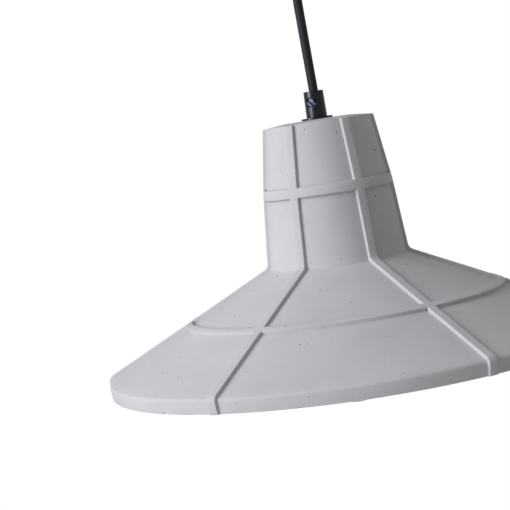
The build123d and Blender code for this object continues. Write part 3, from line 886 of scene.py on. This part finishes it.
class PENDANT_OT_shade(bpy.types.Operator):
    """Casts the ribbed concrete shade, with its air holes and chipped edges"""
    bl_idname = "pendant.shade"
    bl_label = "Concrete shade"

    def execute(self, context):
        settings = context.scene.pendant_shade
        shade = finish_mesh("concrete_shade_cast", shade_mesh(settings), 40)
        cut(shade, hole_cutters(settings, shade.data), 40)
        place_piece(shade, "concrete_shade")
        return {"FINISHED"}


# --- grips ---

TUBE_GAP = 0.05 * MM
CORD_GAP = 0.1 * MM


def screw_radius(node):
    """Radius of a screw that lies level."""
    low, high = heights(node)
    return (high - low) / 2


def screw_pose(node):
    """Matrix that takes +X of a piece made at the origin to a grip screw's own direction and height."""
    low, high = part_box(node)
    middle = (low + high) / 2
    angle = math.atan2(middle.y, middle.x)
    return Matrix.Translation((0, 0, middle.z)) @ Matrix.Rotation(angle, 4, "Z")


def along_x(piece, pose):
    """Turns a piece made about Z to lie along +X, and then poses it."""
    piece.data.transform(pose @ Matrix.Rotation(math.radians(90), 4, "Y"))
    return piece


def slotted_screw(name, node, surface_r):
    """Grip screw with a broken rim and a slot across its head, which stands just proud of the grip."""
    r = screw_radius(node)
    inner = surface_r - 3.4 * MM
    face = surface_r + 0.06 * MM
    slot_width, slot_depth, slot_turn = 2.0 * MM, 2.6 * MM, math.radians(-40)
    outline = rounded([(0, inner, 0), (r - 0.4 * MM, inner, 0.1 * MM), (r, inner + 0.4 * MM, 0.1 * MM),
                       (r, face, 0.28 * MM), (0, face + 0.05 * MM, 0)], 4)
    screw = lathe(name, outline, 64)
    slot = block("slot", (slot_width, 3 * r, 2 * slot_depth), 0)
    slot.data.transform(Matrix.Translation((0, 0, face)) @ Matrix.Rotation(slot_turn, 4, "Z"))
    cut(screw, slot)
    along_x(screw, screw_pose(node))
    return place_piece(screw, node)


def screw_recess(node, surface_r):
    """Cutter for the dark ring round a grip screw, over the bore that the screw turns in."""
    r = screw_radius(node) + 0.8 * MM
    bore = r - 0.75 * MM
    inner, floor, clear = surface_r - 3.6 * MM, surface_r - 1.7 * MM, surface_r + 2 * MM
    outline = rounded([(0, inner, 0), (bore, inner, 0), (bore, floor, 0.15 * MM), (r, floor, 0.15 * MM),
                       (r, clear, 0), (0, clear, 0)], 3)
    return along_x(lathe("recess", outline, 64), screw_pose(node))


class PENDANT_OT_lamp_grip(bpy.types.Operator):
    """Turns the grip that clamps the cord at the lamp, its screw and the flange under it"""
    bl_idname = "pendant.lamp_grip"
    bl_label = "Lamp grip and flange"

    def execute(self, context):
        foot, top, foot_r = span("lamp_cord_grip")
        top_r = foot_r - 0.35 * MM
        bore = context.scene.pendant_cord.diameter / 2 + CORD_GAP
        tube_r = outer_radius("threaded_tube") + TUBE_GAP
        # The mouth flares round the leaning cord, and the tube ends at a step in the bore.
        flare, flare_foot, step = 0.95 * MM, top - 10 * MM, foot + 8.2 * MM
        outline = rounded([
            (foot_r, foot, 0.2 * MM), (top_r, top, 0.55 * MM), (bore + flare, top, 0.3 * MM),
            (bore, flare_foot, 0.3 * MM), (bore, step, 0), (tube_r, step, 0), (tube_r, foot, 0.1 * MM),
        ], 5)
        grip = lathe("lamp_grip_body", outline, 128)
        cut(grip, screw_recess("lamp_grip_screw", top_r))
        place_piece(grip, "lamp_cord_grip")
        slotted_screw("lamp_grip_screw_head", "lamp_grip_screw", top_r)
        low, high, flange_r = span("neck_flange")
        plate = rounded([(flange_r, low, 0.15 * MM), (flange_r, high, 0.12 * MM), (tube_r, high, 0.12 * MM),
                         (tube_r, low, 0)], 5)
        turned("neck_flange_plate", "neck_flange", plate, 128)
        return {"FINISHED"}


class PENDANT_OT_canopy(bpy.types.Operator):
    """Spins the ceiling canopy, with its cord grip, screws and bush"""
    bl_idname = "pendant.canopy"
    bl_label = "Canopy and its grip"

    def execute(self, context):
        self.bowl()
        self.grip(context.scene.pendant_cord.diameter / 2 + CORD_GAP)
        keep_nodes("canopy_side_screws", "canopy_cord_bush", "canopy_grip_nut")
        return {"FINISHED"}

    def bowl(self):
        low, high = heights("canopy_cup")
        # Its side holes are at the ends of X, so its radius is read along Y.
        box_low, box_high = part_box("canopy_cup")
        r = (box_high.y - box_low.y) / 2
        wall, corner, hole = 1.2 * MM, 4.0 * MM, 5.2 * MM
        outline = rounded([
            (hole, low, 0.2 * MM), (r, low, corner), (r, high, 0.4 * MM), (r - wall, high, 0.4 * MM),
            (r - wall, low + wall, corner - wall), (hole, low + wall, 0.2 * MM),
        ], 8)
        bowl = lathe("canopy_bowl", outline, 160)
        screw_z = sum(heights("canopy_side_screws")) / 2
        drill_r, reach = 2.25 * MM, 4 * MM
        for side in (-1, 1):
            drill = lathe("drill", [(0, -reach), (drill_r, -reach), (drill_r, reach), (0, reach)], 32)
            along_x(drill, Matrix.Translation((side * r, 0, screw_z)))
            cut(bowl, drill)
        place_piece(bowl, "canopy_cup")

    def grip(self, bore):
        mouth, top, r = span("canopy_cord_grip")
        bowl_foot = heights("canopy_cup")[0]
        spigot = outer_radius("threaded_tube")
        pivot = frame["joints"][0]["pos_m"][2]
        socket = outer_radius("canopy_cord_bush") + 0.1 * MM
        ball = []
        lowest = math.asin((mouth - pivot) / socket)
        highest = math.acos(bore / socket)
        for i in range(15):
            lift = highest + (lowest - highest) * i / 14
            ball.append((socket * math.cos(lift), pivot + socket * math.sin(lift), 0))
        outline = rounded([
            (r, mouth, 0.5 * MM), (r, bowl_foot, 0.15 * MM), (spigot, bowl_foot, 0), (spigot, top, 0.3 * MM),
            (bore, top, 0.2 * MM),
        ] + ball, 5)
        grip = lathe("canopy_grip_body", outline, 128)
        cut(grip, screw_recess("canopy_grip_screw", r))
        place_piece(grip, "canopy_cord_grip")
        slotted_screw("canopy_grip_screw_head", "canopy_grip_screw", r)


class PENDANT_OT_wiring(bpy.types.Operator):
    """Finishes the ceiling bracket, the terminal block and every core"""
    bl_idname = "pendant.wiring"
    bl_label = "Bracket, terminals and cores"

    def execute(self, context):
        keep_nodes("ceiling_bracket", "terminal_block", "terminal_tubes", "terminal_screws",
                   "terminal_block_screw", "cord_tail", "ceiling_live_core", "ceiling_earth_core",
                   "ceiling_neutral_core", "lamp_live_core", "lamp_neutral_core", "lamp_earth_core")
        return {"FINISHED"}


# --- inside the shade ---

def thread(pitch, depth):
    """Rolled thread: moves a surface in and out along a right-hand helix."""
    def shape(angle, r, z):
        return depth * (abs(2 * ((z / pitch - angle / math.tau) % 1.0) - 1) - 0.5) - depth / 2
    return shape


class PENDANT_OT_suspension(bpy.types.Operator):
    """Threads the tube that holds the lamp together, with its washer and nut"""
    bl_idname = "pendant.suspension"
    bl_label = "Threaded tube, washer and nut"

    def execute(self, context):
        low, high, r = span("threaded_tube")
        bore = r - 1.1 * MM
        outside = straight_wall(r, low, high, 0.25 * MM)
        inside = [(bore, high), (bore, low)]
        cut_thread = thread(1.0 * MM, 0.5 * MM)

        def shape(angle, radius, z):
            return cut_thread(angle, radius, z) if radius > bore else 0.0

        turned("threaded_tube_m10", "threaded_tube", outside + inside, 48, shape, 50)
        washer_low, washer_high, washer_r = span("inner_washer")
        washer = rounded([(washer_r, washer_low, 0.25 * MM), (washer_r, washer_high, 0.25 * MM),
                          (r + 0.2 * MM, washer_high, 0.1 * MM), (r + 0.2 * MM, washer_low, 0.1 * MM)], 3)
        turned("inner_washer_plate", "inner_washer", washer)
        for node in ("clamp_nut", "earth_nut"):
            hex_nut(node + "_hex", node, r + TUBE_GAP)
        keep_nodes("earth_tag")
        return {"FINISHED"}


def hex_nut(name, node, bore):
    """Hexagon nut whose corners are turned off at both faces."""
    low, high = heights(node)
    box_low, box_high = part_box(node)
    wide, deep = box_high.x - box_low.x, box_high.y - box_low.y
    corner_r = max(wide, deep) / 2
    flat_r = corner_r * math.cos(math.pi / 6)
    turn = 0.0 if wide > deep else math.pi / 6
    drop = (corner_r - flat_r) * math.tan(math.radians(30))

    def shape(angle, r, z):
        if r < bore + 0.01 * MM:
            return 0.0
        inside_flat = math.cos((angle + turn) % (math.pi / 3) - math.pi / 6)
        side = flat_r / inside_flat
        return min(r, side) - r

    outline = rounded([(bore, high, 0.3 * MM), (flat_r * 0.97, high, 0), (corner_r, high - drop, 0),
                       (corner_r, low + drop, 0), (flat_r * 0.97, low, 0), (bore, low, 0.3 * MM)], 3)
    return turned(name, node, outline, 120, shape, 25)


class PENDANT_OT_lampholder(bpy.types.Operator):
    """Moulds the lampholder and rolls its threaded shell"""
    bl_idname = "pendant.lampholder"
    bl_label = "Lampholder"

    def execute(self, context):
        self.cap()
        self.skirt()
        self.shell()
        keep_nodes("lampholder_insert", "centre_contact", "side_contact", "contact_screws")
        return {"FINISHED"}

    def cap(self):
        low, high, r = span("lampholder_cap")
        wall = 1.8 * MM
        tube_r = outer_radius("threaded_tube") + TUBE_GAP
        outline = rounded([
            (8.5 * MM, high, 0.6 * MM), (12 * MM, high - 2 * MM, 1.5 * MM),
            (r - 2.5 * MM, high - 9 * MM, 4 * MM), (r, high - 14 * MM, 2.5 * MM), (r, low + 1.2 * MM, 0.3 * MM),
            (r - 0.5 * MM, low, 0.2 * MM), (r - wall, low, 0.2 * MM), (r - wall, high - 14.6 * MM, 1 * MM),
            (r - 4.2 * MM, high - 10.4 * MM, 1 * MM),
            (9.7 * MM, high - 4 * MM, 0.5 * MM), (8.7 * MM, high - 9 * MM, 0.2 * MM),
            (tube_r, high - 9 * MM, 0.2 * MM), (tube_r, high, 0.4 * MM),
        ], 6)
        turned("lampholder_cap_moulded", "lampholder_cap", outline, 144)

    def skirt(self):
        low, high, r = span("lampholder_skirt")
        inner = outer_radius("lampholder_shell") + 0.3 * MM
        flute_low, flute_high = high - 13.5 * MM, high - 2 * MM
        flutes, depth = 36, 0.55 * MM
        insert_foot = heights("lampholder_insert")[0] - 0.3 * MM
        outline = rounded([
            (r, high, 0.25 * MM), (r, flute_high, 0), (r, flute_high - 0.8 * MM, 0),
            (r, flute_low + 0.8 * MM, 0),
            (r, flute_low, 0), (r, low + 26 * MM, 0.6 * MM), (r - 1.2 * MM, low + 24 * MM, 0.8 * MM),
            (r - 2.2 * MM, low + 1 * MM, 0.5 * MM), (r - 3.2 * MM, low, 0.5 * MM), (inner, low, 0.5 * MM),
            (inner, insert_foot, 0), (r - 2 * MM, insert_foot, 0.5 * MM), (r - 2 * MM, high, 0.25 * MM),
        ], 5)

        def shape(angle, radius, z):
            if radius < r - 0.1 * MM or not flute_low + 0.1 * MM < z < flute_high - 0.1 * MM:
                return 0.0
            return -depth * (0.5 - 0.5 * math.cos(angle * flutes)) ** 0.7

        turned("lampholder_skirt_moulded", "lampholder_skirt", outline, 288, shape)

    def shell(self):
        low, high, r = span("lampholder_shell")
        outside = straight_wall(r, low, high, BULB_THREAD_STEP)
        inside = [(r - BULB_SHEET, z) for _, z in reversed(outside)]
        turned("lampholder_shell_rolled", "lampholder_shell", outside + inside, 96, screw_cap_wave, 60)


BULB_PITCH = 3.629 * MM
BULB_THREAD = 0.95 * MM
BULB_THREAD_STEP = 0.3 * MM
BULB_SHEET = 0.35 * MM


def screw_cap_wave(angle, r, z):
    """Round rolled thread of a bulb cap and of the shell that it turns in."""
    return BULB_THREAD * (0.5 * math.cos(math.tau * (z / BULB_PITCH + angle / math.tau)) - 0.5)


class PENDANT_OT_bulb(bpy.types.Operator):
    """Makes the bulb's glass, cap and stem, and finishes its wires and contact"""
    bl_idname = "pendant.bulb"
    bl_label = "Bulb"

    def execute(self, context):
        self.glass()
        self.cap()
        self.stem()
        keep_nodes("bulb_insulator", "bulb_contact", "bulb_leads", "bulb_filament")
        return {"FINISHED"}

    def glass(self):
        low, high, r = span("bulb_glass")
        wall = 0.7 * MM
        neck_r = 12.4 * MM
        lift = math.radians(38)

        def outline(inset):
            ball_r = r - inset
            centre = low + r
            points = []
            for i in range(41):
                swing = -math.pi / 2 + (math.pi / 2 + lift) * i / 40
                points.append(Vector((max(0.0, ball_r * math.cos(swing)), centre + ball_r * math.sin(swing))))
            points[0].x = 0.0
            join = points.pop()
            neck = Vector((neck_r - inset, high - 2 * MM))
            leave = join + Vector((-math.sin(lift), math.cos(lift))) * 19 * MM
            arrive = neck - Vector((0, 24 * MM))
            shoulder = [Vector(p[:2]) for p in interpolate_bezier(
                join.to_3d(), leave.to_3d(), arrive.to_3d(), neck.to_3d(), 30)]
            return points + shoulder + [Vector((neck_r - inset, high))]

        profile = outline(0) + outline(wall)[::-1]
        turned("bulb_glass_blown", "bulb_glass", profile, smooth_below=60)

    def cap(self):
        low, high, r = span("bulb_cap")
        thread_low, thread_high = low + 4 * MM, high - 4 * MM
        threaded = straight_wall(r, thread_low, thread_high, BULB_THREAD_STEP)
        outside = [(r - 0.3 * MM, low), (r - 0.1 * MM, low + 0.4 * MM), (r - 0.1 * MM, thread_low - 1.5 * MM)]
        crown = [(r - 1.15 * MM, high - 2.2 * MM), (11.6 * MM, high - 0.6 * MM), (11.05 * MM, high)]
        shell = outside + threaded + crown
        inner = [(radius - BULB_SHEET, z) for radius, z in reversed(shell[:-1])]

        def shape(angle, radius, z):
            if not thread_low <= z <= thread_high:
                return 0.0
            fade = min(1.0, min(z - thread_low, thread_high - z) / (1.5 * MM))
            return (screw_cap_wave(angle, radius, z) + BULB_THREAD) * fade - BULB_THREAD

        bottom = [(11.05 * MM, high - 1.8 * MM)]
        turned("bulb_cap_rolled", "bulb_cap", shell + bottom + inner, 96, shape, 60)

    def stem(self):
        low, high, r = span("bulb_stem")
        outline = rounded([
            (0, high, 0), (r, high, 0.2 * MM), (r, high - 0.9 * MM, 0.3 * MM),
            (4.5 * MM, high - 5 * MM, 3 * MM), (2.4 * MM, high - 26 * MM, 6 * MM),
            (1.6 * MM, high - 42 * MM, 0.8 * MM), (0, low, 0),
        ], 8)
        turned("bulb_stem_drawn", "bulb_stem", outline, 64, smooth_below=60)


# --- stage ---

FLOOR_DROP = 1.2
LIGHT_COLOUR = (0.985, 0.985, 1.0)

class PENDANT_OT_stage(bpy.types.Operator):
    """Sets up the pale floor, the soft light and the camera"""
    bl_idname = "pendant.stage"
    bl_label = "Studio and camera"

    def execute(self, context):
        studio = context.scene.pendant_studio
        context.scene.view_settings.view_transform = "Standard"
        self.camera(context.scene, studio)
        self.room(context.scene, studio)
        self.lights(context.scene, studio)
        self.floor()
        return {"FINISHED"}

    def camera(self, scene, studio):
        data = bpy.data.cameras.new("camera")
        data.lens = studio.lens
        data.sensor_width = 36
        data.clip_start, data.clip_end = 0.05, 50
        camera = bpy.data.objects.new("camera", data)
        place = Vector((studio.camera_distance * math.sin(studio.camera_azimuth),
                        -studio.camera_distance * math.cos(studio.camera_azimuth), studio.camera_height))
        turn = (Matrix.Rotation(-studio.yaw, 4, "Z") @ Matrix.Rotation(math.pi / 2 + studio.pitch, 4, "X")
                @ Matrix.Rotation(studio.roll, 4, "Z"))
        camera.matrix_world = Matrix.Translation(place) @ turn
        scene.collection.objects.link(camera)
        scene.camera = camera

    def room(self, scene, studio):
        """White walls behind the object, which light it only softly, and more from the far side."""
        world = bpy.data.worlds.new("room")
        world.use_nodes = True
        tree = world.node_tree
        tree.nodes.clear()
        seen = put(tree, "LightPath").outputs["Is Camera Ray"]
        far = put(tree, "SeparateXYZ", {0: put(tree, "TexCoord").outputs["Generated"]}).outputs[1]
        dim, bright = studio.ambient - studio.depth_fade, studio.ambient + studio.depth_fade
        soft = between(tree, far, -1.0, 1.0, dim, bright)
        strength = put(tree, "MapRange", {"Value": seen, "To Min": soft, "To Max": 1.0}).outputs[0]
        walls = put(tree, "Background", {"Color": (1, 1, 1, 1), "Strength": strength})
        put(tree, "OutputWorld", {"Surface": walls.outputs[0]})
        scene.world = world

    def lights(self, scene, studio):
        """A tall soft box at the front left, and a weak one overhead."""
        azimuth = studio.camera_azimuth - studio.key_azimuth
        flat = math.cos(studio.key_elevation)
        to_key = Vector((math.sin(azimuth) * flat, -math.cos(azimuth) * flat, math.sin(studio.key_elevation)))
        self.soft_box(scene, "key", to_key * studio.key_distance, studio.key_width, studio.key_height,
                      studio.key_power)
        self.soft_box(scene, "top", Vector((0, 0, studio.top_height)), 1.0, 1.0, studio.top_power)

    def soft_box(self, scene, name, away, width, height, power):
        """Area light that faces the shade's middle from a distance."""
        data = bpy.data.lights.new(name, "AREA")
        data.shape = "RECTANGLE"
        data.size, data.size_y = width, height
        data.energy = power
        data.color = LIGHT_COLOUR
        lamp = bpy.data.objects.new(name, data)
        lamp.location = Vector((0, 0, sum(heights("concrete_shade")) / 2)) + away
        lamp.rotation_mode = "QUATERNION"
        lamp.rotation_quaternion = away.to_track_quat("Z", "Y")
        scene.collection.objects.link(lamp)

    def floor(self):
        """Pale floor well below the lamp, fading into the white room at its edge."""
        level = heights("bulb_glass")[0] - FLOOR_DROP
        rows = [round_row(r, level, 96) for r in (0, 0.5, 1.0, 1.5, 2.0, 2.5, 3.0)]
        floor = finish_mesh("floor", mesh_of_rows("floor", rows, wrap=False))
        material, tree, shader, place = new_finish("Plaster_floor_trowelled", Roughness=0.8)
        tone = clouds(tree, place, 0.3, 3.0)
        tree.links.new(blend(tree, tone, linear("ECECEA"), linear("F2F2F1")), shader.inputs["Base Color"])
        reach = put(tree, "VectorMath", {0: place}, operation="LENGTH").outputs["Value"]
        fade = between(tree, reach, 1.6, 2.9)
        clear = put(tree, "BsdfTransparent")
        mixed = put(tree, "MixShader", {0: fade, 1: shader.outputs[0], 2: clear.outputs[0]})
        tree.links.new(mixed.outputs[0], tree.nodes["Material Output"].inputs["Surface"])
        floor.data.materials.append(material)


class PENDANT_PT_panel(bpy.types.Panel):
    """Sidebar panel of the pendant light"""
    bl_idname = "PENDANT_PT_panel"
    bl_label = "Concrete pendant"
    bl_space_type = "VIEW_3D"
    bl_region_type = "UI"
    bl_category = "Pendant"

    def draw(self, context):
        for operator in OPERATORS:
            self.layout.operator(operator.bl_idname)
        for group in SETTINGS:
            box = self.layout.box()
            box.label(text=group.replace("pendant_", "").capitalize())
            settings = getattr(context.scene, group)
            for name in settings.bl_rna.properties.keys():
                if name not in ("rna_type", "name"):
                    box.prop(settings, name)


SETTINGS = {
    "pendant_shade": ShadeSettings,
    "pendant_cord": CordSettings,
    "pendant_finish": FinishSettings,
    "pendant_studio": StudioSettings,
}
OPERATORS = [
    PENDANT_OT_stage, PENDANT_OT_shade, PENDANT_OT_lamp_grip, PENDANT_OT_canopy, PENDANT_OT_cord,
    PENDANT_OT_wiring, PENDANT_OT_suspension, PENDANT_OT_lampholder, PENDANT_OT_bulb,
]


def register():
    for group, settings in SETTINGS.items():
        bpy.utils.register_class(settings)
        setattr(bpy.types.Scene, group, PointerProperty(type=settings))
    for operator in OPERATORS:
        bpy.utils.register_class(operator)
    bpy.utils.register_class(PENDANT_PT_panel)


def unregister():
    bpy.utils.unregister_class(PENDANT_PT_panel)
    for operator in reversed(OPERATORS):
        bpy.utils.unregister_class(operator)
    for group, settings in SETTINGS.items():
        delattr(bpy.types.Scene, group)
        bpy.utils.unregister_class(settings)


def main():
    register()
    make_finishes()
    bpy.ops.pendant.stage()
    bpy.ops.pendant.shade()
    bpy.ops.pendant.lamp_grip()
    bpy.ops.pendant.canopy()
    bpy.ops.pendant.cord()
    bpy.ops.pendant.wiring()
    bpy.ops.pendant.suspension()
    bpy.ops.pendant.lampholder()
    bpy.ops.pendant.bulb()


if __name__ == "__main__":
    main()
